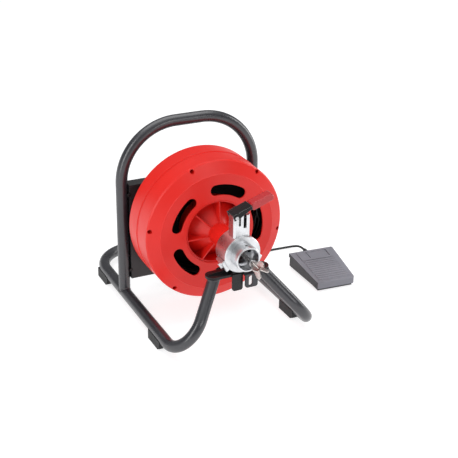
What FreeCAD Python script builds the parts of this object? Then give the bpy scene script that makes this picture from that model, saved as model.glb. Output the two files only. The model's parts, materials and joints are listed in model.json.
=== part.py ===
"""Electric drum drain-cleaning machine with an air foot pedal.

Frame: +Z up, origin on the floor midway between the four feet, -Y towards the cable outlet,
+X to the right for someone standing behind the machine. Millimetres. The drum turns about an
axis along Y at height AXIS_Z.
"""
import FreeCAD, Part
import math
import os

V = FreeCAD.Vector
os.makedirs("parts", exist_ok=True)

# ---- driving dimensions -------------------------------------------------------------------
TUBE_R = 14.0                 # 28 mm frame tube
TUBE_WALL = 2.0
RAIL_Z = 26.0                 # centre of the floor rails
HALF_W = 172.0                # rails and uprights stand at x = +-HALF_W
BASE_FRONT_Y = -327.0         # where the rails would meet the front struts without their bend
BASE_REAR_Y = 278.0
FRONT_BEND = 62.0
REAR_BEND = 98.0
STRUT_TOP = V(56, -220, 170)  # right strut's top end, the left one is its mirror image
BRACKET_HALF_DEPTH = 18.0     # of the plate on the struts
BRACKET_PLATE = 6.0           # its thickness
UPRIGHT_Y = 50.0
HANDLE_Z = 450.0
HANDLE_BEND = 138.0
FOOT_Y = 172.0                # feet stand at y = +-FOOT_Y under the rails

AXIS_Z = 225.0                # drum and outlet axis
DRUM_R = 174.0
DRUM_FACE_Y = -116.0          # flat front annulus of the drum
DRUM_EDGE_Y = -102.0          # the front edge, behind a shallow cone
DRUM_SEAM_Y = -48.0           # a groove round the drum where its two halves meet
DRUM_BACK_Y = 4.0
SHELL = 3.5                   # drum wall
CREASE_R = 143.0              # the flat annulus meets the cone here
SLOT_R = 105.0
SLOT_HALF_W = 13.0
SLOT_SPAN = 36.0              # degrees between the slot ends' centres
SLOT_PHASE = 75.0
SCREW_R = 166.0
SCREW_SEAT_Y = -84.0          # the screws sit deep in the front face
SCREW_PHASE = 51.0
RIM_R = 77.0                  # opening in the front face
THROAT_R = 22.0
THROAT_BORE = 16.0
N_RIBS = 7                    # on the funnel in the front opening
RIB_PHASE = 86.0

BODY_R = 44.0                 # feed unit
BODY_FRONT_Y = -247.0
BODY_REAR_Y = -197.0
ROLLER_Y = -228.0
OUTLET_R = 21.0
NOZZLE_BORE = 25.0            # wider than the body's bore behind it
NOZZLE_R = 29.5
NOZZLE_FRONT_Y = -276.0
TOWER_HALF_W = 20.0
TOWER_Y = (-241.5, -214.5)
TOWER_TOP = AXIS_Z + 92.0
CARRIER_R = 11.5
CABLE_R = 5.0
FEED_ROLLER_R = 9.0
ROLLER_W = 9.0
ROLLER_GAP = 0.3              # between an engaged roller and the cable
BLADE_PHASE = -15.0           # the cutter's four blades
SKEW = 20.0                   # roller axis against the cable axis, degrees
CAP_SEAT = 41.0               # flats under the side roller caps, from the cable axis
LEDGE = 58.0                  # spring seat in the tower, above the cable axis
LEVER_PIVOT = V(-15.0, -228, AXIS_Z + 90.0)
LEVER_ANGLE = 20.0            # raised lever above horizontal
CAM_ARM = 15.0                # pivot to the cam's nose centre
CAM_ANGLE = 11.0              # that arm above horizontal, raised; as far below it when pressed
CAM_R = 4.0
CARRIAGE_STROKE = 2 * CAM_ARM * math.sin(math.radians(CAM_ANGLE))
RUN = 0.06                    # radial running clearance

CASE_Y = (36.0, 66.0)         # belt case between the uprights
CASE_Z = (65.0, 310.0)
SHEET = 2.5
DRIVE_PLATE = 4.0
SHAFT_R = 12.5
MOTOR_Z = 98.0
MOTOR_R = 50.0
DRUM_PULLEY_R = 74.0
MOTOR_PULLEY_R = 15.0
BELT_Y = (43.0, 55.0)
BELT_T = 4.0

HOSE_R = 3.0
COIL_CENTRE = V(105, 160, 0)  # spare hose, wound on the floor behind the machine
COIL_MID_R = 33.0
COIL_RING = (COIL_MID_R - 7.5, COIL_MID_R + 7.5, 24.0)
PEDAL_CORNER = V(282.65, -107, 0)
PEDAL_TURN = -4.0
PEDAL_W = 108.0               # across its middle, between the lines that its parts are set from
PEDAL_FRONT_X = 2.0           # its left edge at the front, in from that line
PEDAL_REAR_X = -9.0           # and at the rear, where the pedal is wider
PEDAL_L = 156.0
PEDAL_FRONT_H = 25.0
PEDAL_REAR_H = 40.0
PEDAL_PLATE = 4.5             # thickness of the treadle's top
PEDAL_RAMP_END = PEDAL_L - 10.0
PEDAL_HINGE = (12.0, 12.0)    # y and z of the treadle's hinge pin
PEDAL_LIMIT = (131.0, 23.0)   # y and z of the pins that limit its travel
PEDAL_NIPPLE = (66.0, 11.0)   # x and z of the air connection in the pedal's rear wall
PEDAL_BACK = PEDAL_L - 2.4     # outside of the base's rear wall
PEDAL_SLEEVE_END = PEDAL_L + 55.0


# ---- helpers ------------------------------------------------------------------------------
def save(name, shape):
    shape.exportStep("parts/%s.step" % name)


def box(x0, x1, y0, y1, z0, z1):
    return Part.makeBox(x1 - x0, y1 - y0, z1 - z0, V(x0, y0, z0))


def rod(radius, start, end):
    """Cylinder from one point to another."""
    start = V(*start)
    along = V(*end) - start
    return Part.makeCylinder(radius, along.Length, start, along)


def rod_y(radius, y0, y1, x=0.0, z=AXIS_Z):
    return rod(radius, (x, y0, z), (x, y1, z))


def ring_y(outer, inner, y0, y1, x=0.0, z=AXIS_Z):
    return rod_y(outer, y0, y1, x, z).cut(rod_y(inner, y0 - 1, y1 + 1, x, z))


def turned(profile, x=0.0, z=AXIS_Z):
    """Revolve a closed (radius, y) outline about the line along Y through (x, z)."""
    points = [V(x + r, y, z) for r, y in profile]
    face = Part.Face(Part.makePolygon(points + points[:1]))
    return face.revolve(V(x, 0, z), V(0, 1, 0), 360)


def prism_y(outline, y0, y1):
    """Extrude a closed (x, z) outline along Y."""
    points = [V(x, y0, z) for x, z in outline]
    return Part.Face(Part.makePolygon(points + points[:1])).extrude(V(0, y1 - y0, 0))


def fuse(shapes):
    result = shapes[0]
    for shape in shapes[1:]:
        result = result.fuse(shape)
    return result.removeSplitter()


def blade(outline, thickness):
    """Flat piece from a closed (radius, y) outline, lying in the axis plane towards +X."""
    z = AXIS_Z - thickness / 2
    points = [V(r, y, z) for r, y in outline]
    return Part.Face(Part.makePolygon(points + points[:1])).extrude(V(0, 0, thickness))


def spun(shape, angle):
    """Copy turned about the drum axis; 0 leaves it, positive goes from +X towards +Z."""
    copy = shape.copy()
    copy.rotate(V(0, 0, AXIS_Z), V(0, -1, 0), angle)
    return copy


def mirrored(shape):
    return shape.mirror(V(0, 0, 0), V(1, 0, 0))


def hexagon_y(flats, y0, y1, x=0.0, z=AXIS_Z):
    radius = flats / math.sqrt(3)
    outline = []
    for k in range(6):
        angle = math.radians(60 * k)
        outline.append((x + radius * math.cos(angle), z + radius * math.sin(angle)))
    return prism_y(outline, y0, y1)


def rounded_path(corners, radii):
    """Wire of straight runs with an arc of the given radius at each inner corner."""
    edges = []
    last = corners[0]
    for k in range(1, len(corners) - 1):
        back = (corners[k - 1] - corners[k]).normalize()
        ahead = (corners[k + 1] - corners[k]).normalize()
        half = 0.5 * back.getAngle(ahead)
        reach = radii[k - 1] / math.tan(half)
        start = corners[k] + back * reach
        end = corners[k] + ahead * reach
        bisector = (back + ahead).normalize()
        middle = corners[k] + bisector * (radii[k - 1] / math.sin(half) - radii[k - 1])
        if (start - last).Length > 1e-6:
            edges.append(Part.LineSegment(last, start).toShape())
        edges.append(Part.Arc(start, middle, end).toShape())
        last = end
    edges.append(Part.LineSegment(last, corners[-1]).toShape())
    return Part.Wire(edges)


def pipe(path, radius):
    first = path.Edges[0]
    section = Part.Wire([Part.makeCircle(radius, first.valueAt(first.FirstParameter),
                                         first.tangentAt(first.FirstParameter))])
    return path.makePipeShell([section], True, True)


def coil_spring(axis_point, axis, radius, wire_r, length, turns):
    helix = Part.makeLongHelix(length / turns, length, radius)
    start = helix.Edges[0].valueAt(helix.Edges[0].FirstParameter)
    tangent = helix.Edges[0].tangentAt(helix.Edges[0].FirstParameter)
    section = Part.Wire([Part.makeCircle(wire_r, start, tangent)])
    spring = Part.Wire(helix.Edges).makePipeShell([section], True, True)
    spring.Placement = FreeCAD.Placement(axis_point, FreeCAD.Rotation(V(0, 0, 1), axis))
    return spring


# ---- frame --------------------------------------------------------------------------------
def base_corners():
    top = V(-STRUT_TOP.x, STRUT_TOP.y, STRUT_TOP.z)
    bend = V(-HALF_W, BASE_FRONT_Y, RAIL_Z)
    spare = (top - bend).normalize() * TUBE_R
    left = [top + spare, bend, V(-HALF_W, BASE_REAR_Y, RAIL_Z)]
    return left + [V(-p.x, p.y, p.z) for p in reversed(left)]


def base_path():
    return rounded_path(base_corners(), [FRONT_BEND, REAR_BEND, REAR_BEND, FRONT_BEND])


def base_solid():
    """The closed floor loop and its two front struts, as a filled tube longer than needed."""
    return pipe(base_path(), TUBE_R)


def make_base(outer):
    inner = pipe(base_path(), TUBE_R - TUBE_WALL)
    tube = outer.cut(inner)
    above = box(-200, 200, -400, 0, STRUT_TOP.z, STRUT_TOP.z + 60)
    save("base_tube", tube.cut(above))


def make_handle(base_outer):
    foot = RAIL_Z - 4
    corners = [V(-HALF_W, UPRIGHT_Y, foot), V(-HALF_W, UPRIGHT_Y, HANDLE_Z),
               V(HALF_W, UPRIGHT_Y, HANDLE_Z), V(HALF_W, UPRIGHT_Y, foot)]
    path = rounded_path(corners, [HANDLE_BEND, HANDLE_BEND])
    tube = pipe(path, TUBE_R).cut(pipe(path, TUBE_R - TUBE_WALL))
    tube = tube.cut(base_outer)
    below = box(-250, 250, 0, 100, 0, RAIL_Z)
    save("handle_tube", tube.cut(below))


def make_feet(base_outer):
    """Rubber blocks, each hollowed on top to sit against the underside of a rail."""
    half_len = 33.0
    step_l, step_h = 9.0, 5.0
    feet = []
    for y_mid in (-FOOT_Y, FOOT_Y):
        for x in (-HALF_W, HALF_W):
            block = box(x - 15, x + 15, y_mid - half_len, y_mid + half_len, 0, RAIL_Z - 2)
            step = box(x - 15, x + 15, y_mid - half_len, y_mid - half_len + step_l, 0, step_h)
            feet.append(block.cut(step).cut(base_outer))
    save("frame_feet", Part.makeCompound(feet))


def make_bracket():
    """Black saddle plate on the strut tops, with a cradle that carries the feed unit."""
    low = STRUT_TOP.z
    half_depth = BRACKET_HALF_DEPTH
    end_x = 60.0
    high = low + BRACKET_PLATE
    y_mid = STRUT_TOP.y
    plate = box(-end_x, end_x, y_mid - half_depth, y_mid + half_depth, low, high)
    for side in (-1, 1):
        end = V(side * end_x, y_mid, low)
        plate = plate.fuse(Part.makeCylinder(half_depth, BRACKET_PLATE, end))
    cradle = box(-20, 20, y_mid - half_depth, y_mid + half_depth, high, AXIS_Z - BODY_R + 9)
    cradle = cradle.cut(rod_y(BODY_R, y_mid - 40, y_mid + 40))
    lip = prism_y([(-72, high), (-20, high), (-20, low + 14), (-44, low + 11.5), (-72, low + 9)],
                  y_mid - 3, y_mid + 3)
    saddle = fuse([plate, cradle, lip, mirrored(lip)])
    for y in (y_mid - 11, y_mid + 11):
        saddle = saddle.cut(rod(4.5, (0, y, low - 1), (0, y, AXIS_Z)))
    save("front_bracket", saddle)
    bolts = []
    for y in (y_mid - 11, y_mid + 11):
        head = Part.makeCylinder(6.5, 5.3, V(0, y, low - 5.3))
        shank = Part.makeCylinder(4.0, 26, V(0, y, low - 1))
        bolts.append(head.fuse(shank).removeSplitter())
    save("bracket_bolts", Part.makeCompound(bolts))


def make_lugs():
    """A plain lug on the bracket's front edge and a slotted one on a short ledge before it."""
    front = STRUT_TOP.y - BRACKET_HALF_DEPTH
    top = STRUT_TOP.z + BRACKET_PLATE
    plain = box(-22, 4, front - 4, front, top - 41, top)
    plain = plain.makeFillet(6, [e for e in plain.Edges if e.CenterOfMass.z < top - 40 and e.Length < 5])
    low = STRUT_TOP.z - 27
    high = STRUT_TOP.z + BRACKET_PLATE
    plate = box(5, 36, front - 15, front - 11, low, high)
    plate = plate.makeFillet(6, [e for e in plate.Edges if e.CenterOfMass.z < low + 1 and e.Length < 5])
    ledge = box(5, 36, front - 12, front, high - 4, high)
    slot_top = high - 8
    slot_end = low + 9
    slot = box(13.5, 22.5, front - 16, front - 10, slot_end, slot_top)
    for z in (slot_end, slot_top):
        slot = slot.fuse(rod_y(4.5, front - 16, front - 10, 18, z))
    slotted = fuse([plate, ledge]).cut(slot)
    save("bracket_lugs", Part.makeCompound([plain, slotted]))


# ---- belt drive and motor -----------------------------------------------------------------
def case_screw_places():
    x_side = 140.0
    places = []
    for z in (CASE_Z[0] + 14, 0.5 * (CASE_Z[0] + CASE_Z[1]), CASE_Z[1] - 14):
        places += [(-x_side, z), (x_side, z)]
    return places


def make_case():
    """Folded steel tray between the uprights, closed at the back by the drive plate."""
    half = HALF_W - TUBE_R
    y0, y1 = CASE_Y
    z0, z1 = CASE_Z
    tray = box(-half, half, y0, y1, z0, z1)
    tray = tray.cut(box(-half + SHEET, half - SHEET, y0 + SHEET, y1 + 1, z0 + SHEET, z1 - SHEET))
    for x, z in case_screw_places():
        post = rod_y(7, y0 + 1, y1, x, z)
        tray = tray.fuse(post).cut(rod_y(2.5, y0 + 12, y1 + 1, x, z))
    tray = tray.cut(rod_y(29, y0 - 1, y0 + 5))
    for k in range(4):
        hole = rod_y(3.1, y0 - 1, y0 + 5, 38, AXIS_Z)
        tray = tray.cut(spun(hole, 45 + 90 * k))
    for side in (-1, 1):
        upright = rod(TUBE_R, (side * HALF_W, UPRIGHT_Y, 0), (side * HALF_W, UPRIGHT_Y, 400))
        tray = tray.cut(upright)
    save("drive_case", tray.removeSplitter())

    plate = box(-half + 2, half - 2, y1, y1 + DRIVE_PLATE, z0 + 1, z1 - 1)
    plate = plate.cut(rod_y(16, y1 - 1, y1 + 6, 0, MOTOR_Z))
    for x, z in case_screw_places():
        plate = plate.cut(rod_y(3.2, y1 - 1, y1 + 6, x, z))
    for x, z in motor_bolt_places():
        plate = plate.cut(rod_y(3.2, y1 - 1, y1 + 6, x, z))
    for row in range(5):
        for side in (-1, 1):
            z = AXIS_Z - 20 + 16 * row
            vent = box(side * 85 - 20, side * 85 + 20, y1 - 1, y1 + 6, z, z + 5)
            plate = plate.cut(vent)
    save("drive_plate", plate)

    screws = []
    for x, z in case_screw_places():
        shank = rod_y(2.5, y1 - 14, y1 + DRIVE_PLATE, x, z)
        head = rod_y(5.0, y1 + DRIVE_PLATE, y1 + DRIVE_PLATE + 3.2, x, z)
        socket = hexagon_y(3.0, y1 + DRIVE_PLATE + 1.2, y1 + DRIVE_PLATE + 4, x, z)
        screws.append(shank.fuse(head).cut(socket).removeSplitter())
    return screws


def motor_bolt_places():
    reach = 41.0
    places = []
    for angle in (30, 150, 210, 330):
        angle = math.radians(angle)
        places.append((reach * math.cos(angle), MOTOR_Z + reach * math.sin(angle)))
    return places


def make_bearing_housing():
    front = CASE_Y[0] - 28.0
    rear = CASE_Y[0]
    housing = turned([(32, front), (32, rear - 7), (47, rear - 7), (47, rear), (29, rear), (29, rear + 4),
                      (23.5, rear + 4), (23.5, front + 3), (19, front + 3), (19, front)])
    bolts = []
    for k in range(4):
        hole = rod_y(3.1, rear - 9, rear + 1, 38, AXIS_Z)
        housing = housing.cut(spun(hole, 45 + 90 * k))
        bolt = fuse([rod_y(3.0, rear - 7, rear + SHEET, 38), rod_y(5.0, rear - 12, rear - 7, 38)])
        bolt = bolt.cut(hexagon_y(5.0, rear - 13, rear - 9.5, 38))
        nut = hexagon_y(10.0, rear + SHEET, rear + SHEET + 4.5, 38)
        bolts.append(spun(bolt.fuse(nut).removeSplitter(), 45 + 90 * k))
    save("bearing_housing", housing)
    outer = []
    inner = []
    for y in (front + 3, front + 17):
        outer.append(turned([(23.5, y), (23.5, y + 12), (20.5, y + 12), (20.5, y + 9), (19.8, y + 6),
                             (20.5, y + 3), (20.5, y)]))
        inner.append(turned([(15.5, y), (15.5, y + 3), (16.2, y + 6), (15.5, y + 9), (15.5, y + 12),
                             (12.5, y + 12), (12.5, y)]))
    save("bearing_outer_rings", Part.makeCompound(outer))
    save("bearing_inner_rings", Part.makeCompound(inner))
    return bolts


def make_motor():
    flange_y = CASE_Y[1] + DRIVE_PLATE
    body_end = flange_y + 118.0
    flange = turned([(54, flange_y), (54, flange_y + 8), (MOTOR_R, flange_y + 10), (MOTOR_R, body_end),
                     (44, body_end), (44, flange_y + 10), (15, flange_y + 10), (15, flange_y)], 0, MOTOR_Z)
    fins = []
    for k in range(24):
        if k in (5, 6, 7):
            continue
        fin = box(MOTOR_R - 1, MOTOR_R + 3.5, flange_y + 16, body_end - 4, MOTOR_Z - 1.2, MOTOR_Z + 1.2)
        fin.rotate(V(0, 0, MOTOR_Z), V(0, -1, 0), 15 * k)
        fins.append(fin)
    body = fuse([flange] + fins)
    seat = box(-38, 38, flange_y + 20, body_end - 6, MOTOR_Z + 40, MOTOR_Z + 54)
    body = body.fuse(seat).cut(rod_y(44, flange_y + 10, body_end, 0, MOTOR_Z))
    bolts = []
    for x, z in motor_bolt_places():
        body = body.cut(rod_y(3.1, flange_y - 1, flange_y + 11, x, z))
        shank = rod_y(3.0, flange_y - DRIVE_PLATE - 1, flange_y + 9, x, z)
        head = rod_y(5.5, flange_y - DRIVE_PLATE - 4, flange_y - DRIVE_PLATE, x, z)
        bolts.append(shank.fuse(head).removeSplitter())
    save("motor_housing", body.removeSplitter())
    make_fan_cover(body_end)
    make_rotor(flange_y, body_end)
    return bolts


def make_fan_cover(body_end):
    """Pressed cover over the fan behind the motor, with rings of air holes."""
    cowl = turned([(MOTOR_R + 2.5, body_end - 3), (MOTOR_R + 2.5, body_end + 30),
                   (MOTOR_R - 6, body_end + 38), (0, body_end + 38), (0, body_end + 35.5),
                   (MOTOR_R - 7, body_end + 35.5),
                   (MOTOR_R, body_end + 29), (MOTOR_R, body_end - 3)], 0, MOTOR_Z)
    for ring in range(3):
        for k in range(8):
            arm = box(14 + 10 * ring, 19 + 10 * ring, body_end + 30, body_end + 45, MOTOR_Z - 3 - ring,
                      MOTOR_Z + 3 + ring)
            arm.rotate(V(0, 0, MOTOR_Z), V(0, -1, 0), 45 * k + 22.5 * ring)
            cowl = cowl.cut(arm)
    save("motor_fan_cover", cowl)


def make_rotor(flange_y, body_end):
    """Rotor core on its shaft, and the fan on the shaft's end."""
    rotor = fuse([rod_y(7, CASE_Y[0] + 6, body_end + 14, 0, MOTOR_Z),
                  rod_y(36, flange_y + 30, body_end - 24, 0, MOTOR_Z)])
    save("motor_shaft", rotor)
    fan = [ring_y(12, 7, body_end + 2, body_end + 14, 0, MOTOR_Z)]
    for k in range(7):
        vane = box(11, 40, body_end + 3, body_end + 13, MOTOR_Z - 0.9, MOTOR_Z + 0.9)
        vane.rotate(V(0, 0, MOTOR_Z), V(0, -1, 0), 360.0 / 7 * k)
        fan.append(vane)
    save("motor_fan", fuse(fan).cut(rod_y(7, body_end, body_end + 20, 0, MOTOR_Z)))


def grooved(radius, y0, y1, bore, x=0.0, z=AXIS_Z):
    """Multi-rib belt pulley with a flange at each side."""
    profile = [(bore, y0 - 2), (radius + 4, y0 - 2), (radius + 4, y0 - 0.6), (radius, y0)]
    count = 5
    pitch = (y1 - y0) / count
    for k in range(count):
        y = y0 + k * pitch
        profile += [(radius - 1.2, y + 0.35 * pitch), (radius - 1.2, y + 0.65 * pitch), (radius, y + pitch)]
    profile += [(radius + 4, y1 + 0.6), (radius + 4, y1 + 2), (bore, y1 + 2)]
    return turned(profile, x, z)


def make_drive():
    y0, y1 = BELT_Y
    big = grooved(DRUM_PULLEY_R, y0, y1, SHAFT_R)
    web = ring_y(DRUM_PULLEY_R - 8, 26, y0 - 3, y0 + 3).fuse(ring_y(DRUM_PULLEY_R - 8, 26, y1 - 3, y1 + 3))
    big = big.cut(web)
    save("drum_pulley", big.cut(rod_y(SHAFT_R, 0, 80)))
    small = grooved(MOTOR_PULLEY_R, y0, y1, 7, 0, MOTOR_Z)
    save("motor_pulley", small)
    nut = hexagon_y(30, y1 + 2, y1 + 9).cut(rod_y(SHAFT_R - 2.5, y1, y1 + 12))
    save("pulley_nut", nut)
    save("drive_belt", belt_band(BELT_T).cut(belt_band(0.0)))


def belt_band(thickness):
    """Filled belt outline round both pulleys, running clear of their ribs by RUN."""
    y0, y1 = BELT_Y
    big = DRUM_PULLEY_R + RUN + thickness
    small = MOTOR_PULLEY_R + RUN + thickness
    gap = AXIS_Z - MOTOR_Z
    tilt = math.asin((big - small) / gap)
    right = []
    for radius, z in ((big, AXIS_Z), (small, MOTOR_Z)):
        right.append((radius * math.cos(tilt), z - radius * math.sin(tilt)))
    left = [(-x, z) for x, z in reversed(right)]
    band = prism_y(right + left, y0, y1)
    return fuse([band, rod_y(big, y0, y1), rod_y(small, y0, y1, 0, MOTOR_Z)])


def make_switch_box():
    """Terminal box on the motor with the direction switch, mains inlet and air connection."""
    y0 = CASE_Y[1] + DRIVE_PLATE + 22
    y1 = y0 + 88
    z0 = MOTOR_Z + 54
    z1 = z0 + 34
    shell = box(-44, 44, y0, y1, z0, z1)
    shell = shell.makeFillet(5, [e for e in shell.Edges if abs(e.tangentAt(e.FirstParameter).z) > 0.9])
    inside = box(-41, 41, y0 + 3, y1 - 3, z0 + 3, z1 + 1)
    shell = shell.cut(inside)
    shell = shell.cut(rod_y(7, y1 - 5, y1 + 2, -18, z0 + 17))
    shell = shell.cut(rod(4, (35, y0 + 60, z0 + 17), (50, y0 + 60, z0 + 17)))
    save("switch_box", shell)
    lid = box(-45, 45, y0 - 1, y1 + 1, z1, z1 + 5)
    lid = lid.makeFillet(6, [e for e in lid.Edges if abs(e.tangentAt(e.FirstParameter).z) > 0.9])
    knob_at = V(12, y0 + 40, z1)
    lid = lid.cut(Part.makeCylinder(5.0, 12, knob_at - V(0, 0, 2)))
    save("switch_box_lid", lid)
    knob = Part.makeCylinder(15, 6, knob_at + V(0, 0, 5.3))
    grip = box(knob_at.x - 15, knob_at.x + 15, knob_at.y - 4, knob_at.y + 4, z1 + 11.3, z1 + 21)
    grip = grip.common(Part.makeCylinder(15, 30, knob_at))
    stem = Part.makeCylinder(5.0 - RUN, 14, knob_at + V(0, 0, -8))
    save("direction_knob", fuse([knob, grip, stem]))
    gland = fuse([rod_y(7, y1 - 3, y1, -18, z0 + 17), rod_y(10, y1, y1 + 8, -18, z0 + 17),
                  rod_y(6.5, y1 + 8, y1 + 20, -18, z0 + 17), rod_y(8.5, y1 - 7, y1 - 3, -18, z0 + 17)])
    gland = gland.cut(rod_y(4, y1 - 10, y1 + 25, -18, z0 + 17))
    save("mains_inlet", gland)
    return V(44, y0 + 60, z0 + 17)


def make_air_nipple(at):
    """Threaded air connection; the hose pushes up to its shoulder."""
    body = fuse([rod(4, at - V(3, 0, 0), at), rod(6.5, at, at + V(6, 0, 0)),
                 rod(4.6, at + V(6, 0, 0), at + V(14, 0, 0)), rod(6, at - V(8, 0, 0), at - V(3, 0, 0))])
    save("air_nipple", body.cut(rod(1.2, at - V(10, 0, 0), at + V(12, 0, 0))))
    return at + V(14, 0, 0)


# ---- drum ---------------------------------------------------------------------------------
def arc_slot():
    """One curved slot with round ends, centred on +X, long enough to cut the front face."""
    y0 = DRUM_FACE_Y - 2
    y1 = DRUM_FACE_Y + SHELL + 12
    band = ring_y(SLOT_R + SLOT_HALF_W, SLOT_R - SLOT_HALF_W, y0, y1)
    half = math.radians(SLOT_SPAN / 2)
    reach = SLOT_R * 2
    rise = reach * math.tan(half)
    wedge = prism_y([(0, AXIS_Z), (reach, AXIS_Z + rise), (reach, AXIS_Z - rise)], y0 - 1, y1 + 1)
    slot = band.common(wedge)
    for side in (-1, 1):
        end = rod_y(SLOT_HALF_W, y0, y1, SLOT_R * math.cos(half), AXIS_Z + side * SLOT_R * math.sin(half))
        slot = slot.fuse(end)
    return slot


def make_front_shell(inner_r):
    """Dished front half of the drum, with its slots and posts for the screws."""
    outside = turned([(0, DRUM_FACE_Y), (CREASE_R, DRUM_FACE_Y), (CREASE_R + 0.8, DRUM_FACE_Y + 1.2),
                      (DRUM_R - 4, DRUM_EDGE_Y - 1), (DRUM_R - 1.2, DRUM_EDGE_Y + 2),
                      (DRUM_R - 1.2, DRUM_SEAM_Y - 2.5), (DRUM_R - 3.7, DRUM_SEAM_Y), (0, DRUM_SEAM_Y)])
    inside = turned([(0, DRUM_FACE_Y + SHELL), (CREASE_R - 1, DRUM_FACE_Y + SHELL),
                     (inner_r + 1, DRUM_EDGE_Y + 4), (inner_r, DRUM_SEAM_Y + 1), (0, DRUM_SEAM_Y + 1)])
    post = rod_y(8.0, DRUM_FACE_Y, DRUM_SEAM_Y + 2, SCREW_R)
    recess = rod_y(5.0, DRUM_FACE_Y - 5, SCREW_SEAT_Y, SCREW_R)
    hole = rod_y(2.8, DRUM_FACE_Y - 5, DRUM_SEAM_Y + 1, SCREW_R)
    for k in range(6):
        inside = inside.cut(spun(post, SCREW_PHASE + 60 * k))
    shell = outside.cut(inside)
    for k in range(6):
        shell = shell.cut(spun(recess, SCREW_PHASE + 60 * k)).cut(spun(hole, SCREW_PHASE + 60 * k))
    slot = arc_slot()
    for k in range(5):
        shell = shell.cut(spun(slot, SLOT_PHASE + 72 * k))
    mouth = turned([(0, DRUM_FACE_Y - 1), (RIM_R + 3, DRUM_FACE_Y - 1), (RIM_R, DRUM_FACE_Y + 2),
                    (RIM_R, DRUM_FACE_Y + SHELL + 1), (0, DRUM_FACE_Y + SHELL + 1)])
    save("drum_front_shell", shell.cut(mouth))


def make_rear_shell(inner_r):
    """Rear half, with a spigot inside the front half and ribs across its back."""
    shell = turned([(19, DRUM_BACK_Y - SHELL), (inner_r - 2, DRUM_BACK_Y - SHELL), (inner_r - 1, -24),
                    (inner_r - 2, DRUM_SEAM_Y - 5), (inner_r - 0.1, DRUM_SEAM_Y - 5),
                    (inner_r - 0.1, DRUM_SEAM_Y), (DRUM_R - 3.7, DRUM_SEAM_Y), (DRUM_R, DRUM_SEAM_Y + 2.5),
                    (DRUM_R, DRUM_BACK_Y - 5), (DRUM_R - 5, DRUM_BACK_Y), (19, DRUM_BACK_Y)])
    post = rod_y(6.0, DRUM_SEAM_Y, DRUM_BACK_Y - 1, SCREW_R).common(rod_y(inner_r - 1, -150, 5))
    pilot = rod_y(2.5, DRUM_SEAM_Y - 1, DRUM_SEAM_Y + 24, SCREW_R)
    clearance = rod_y(8.6, DRUM_SEAM_Y - 6, DRUM_SEAM_Y, SCREW_R)
    for k in range(6):
        angle = SCREW_PHASE + 60 * k
        shell = shell.fuse(spun(post, angle)).cut(spun(pilot, angle)).cut(spun(clearance, angle))
    for k in range(12):
        rib = box(60, inner_r - 4, DRUM_BACK_Y, DRUM_BACK_Y + 2.5, AXIS_Z - 2, AXIS_Z + 2)
        shell = shell.fuse(spun(rib, 30 * k))
    save("drum_rear_shell", shell.removeSplitter())


def make_drum_screws():
    screw = fuse([rod_y(4.6, SCREW_SEAT_Y - 3, SCREW_SEAT_Y, SCREW_R),
                  rod_y(2.5, SCREW_SEAT_Y, DRUM_SEAM_Y + 22, SCREW_R)])
    screw = screw.cut(hexagon_y(3.5, SCREW_SEAT_Y - 4, SCREW_SEAT_Y - 1, SCREW_R))
    screws = [spun(screw, SCREW_PHASE + 60 * k) for k in range(6)]
    save("drum_screws", Part.makeCompound(screws))


def make_funnel():
    """Ribbed cone that leads the cable from the drum into the throat of the feed unit."""
    lip_y = DRUM_FACE_Y + SHELL
    wall_r = RIM_R - 3
    throat_y = -184.0
    end_y = BODY_REAR_Y - 17.0
    cone_y = -122.0
    deep_y = cone_y + (wall_r - 26)
    funnel = turned([(RIM_R + 11, lip_y), (RIM_R + 11, lip_y + 3), (RIM_R, lip_y + 3), (RIM_R, deep_y + 7.5),
                     (THROAT_BORE, deep_y + 7.5 - (RIM_R - THROAT_BORE)), (THROAT_BORE, end_y),
                     (THROAT_R, end_y), (THROAT_R, throat_y - 4), (26, throat_y), (26, cone_y),
                     (wall_r, deep_y), (wall_r, lip_y)])
    outline = [(25, cone_y + 1), (25, cone_y - 5), (wall_r + 1, lip_y - 0.5), (wall_r + 1, deep_y + 1)]
    rib = blade(outline, 2.6)
    ribs = [spun(rib, RIB_PHASE + 360.0 / N_RIBS * k) for k in range(N_RIBS)]
    save("drum_funnel", fuse([funnel] + ribs))


def make_drum_shaft():
    """Shaft with its collar, held to the drum's back by a flange inside."""
    collar_y = CASE_Y[0] - 28.0 + 3.0
    nut_end = BELT_Y[1] + 9.5
    inside_y = DRUM_BACK_Y - SHELL
    save("drum_shaft", fuse([rod_y(SHAFT_R, inside_y - 16, BELT_Y[1] + 2),
                             rod_y(SHAFT_R - 2.5, BELT_Y[1] + 2, nut_end),
                             rod_y(18, inside_y - 16, collar_y), rod_y(52, inside_y - 4, inside_y)]))


def make_wound_cable():
    """Outer shape of the cable's winding inside the drum."""
    coil = turned([(122, -82), (150, -82), (154, -78), (154, -24), (150, -20), (122, -20), (118, -24),
                   (118, -78)])
    save("wound_cable", coil)


# ---- feed unit ----------------------------------------------------------------------------
def carrier_frame(angle):
    """Placement that takes a piece built radially along +Z at the roller station to its angle."""
    return FreeCAD.Placement(V(0, ROLLER_Y, AXIS_Z), FreeCAD.Rotation(V(0, -1, 0), angle - 90))


def placed(shape, angle):
    copy = shape.copy()
    copy.Placement = carrier_frame(angle).multiply(copy.Placement)
    return copy


def skewed(shape, centre):
    copy = shape.copy()
    copy.rotate(V(0, 0, centre), V(0, 0, 1), SKEW)
    return copy


def roller_parts(centre):
    """Roller and its axle about a skewed axis, in the radial frame, centre mm from the cable axis."""
    half = ROLLER_W / 2
    outer = rod(FEED_ROLLER_R, (0, -half, centre), (0, half, centre))
    bore = rod(3.0 + RUN, (0, -half - 1, centre), (0, half + 1, centre))
    axle = rod(3.0, (0, -11.0, centre), (0, 11.0, centre))
    roller = outer.makeFillet(1.2, outer.Edges[:1] + outer.Edges[-1:]).cut(bore)
    return skewed(roller, centre), skewed(axle, centre)


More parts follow.
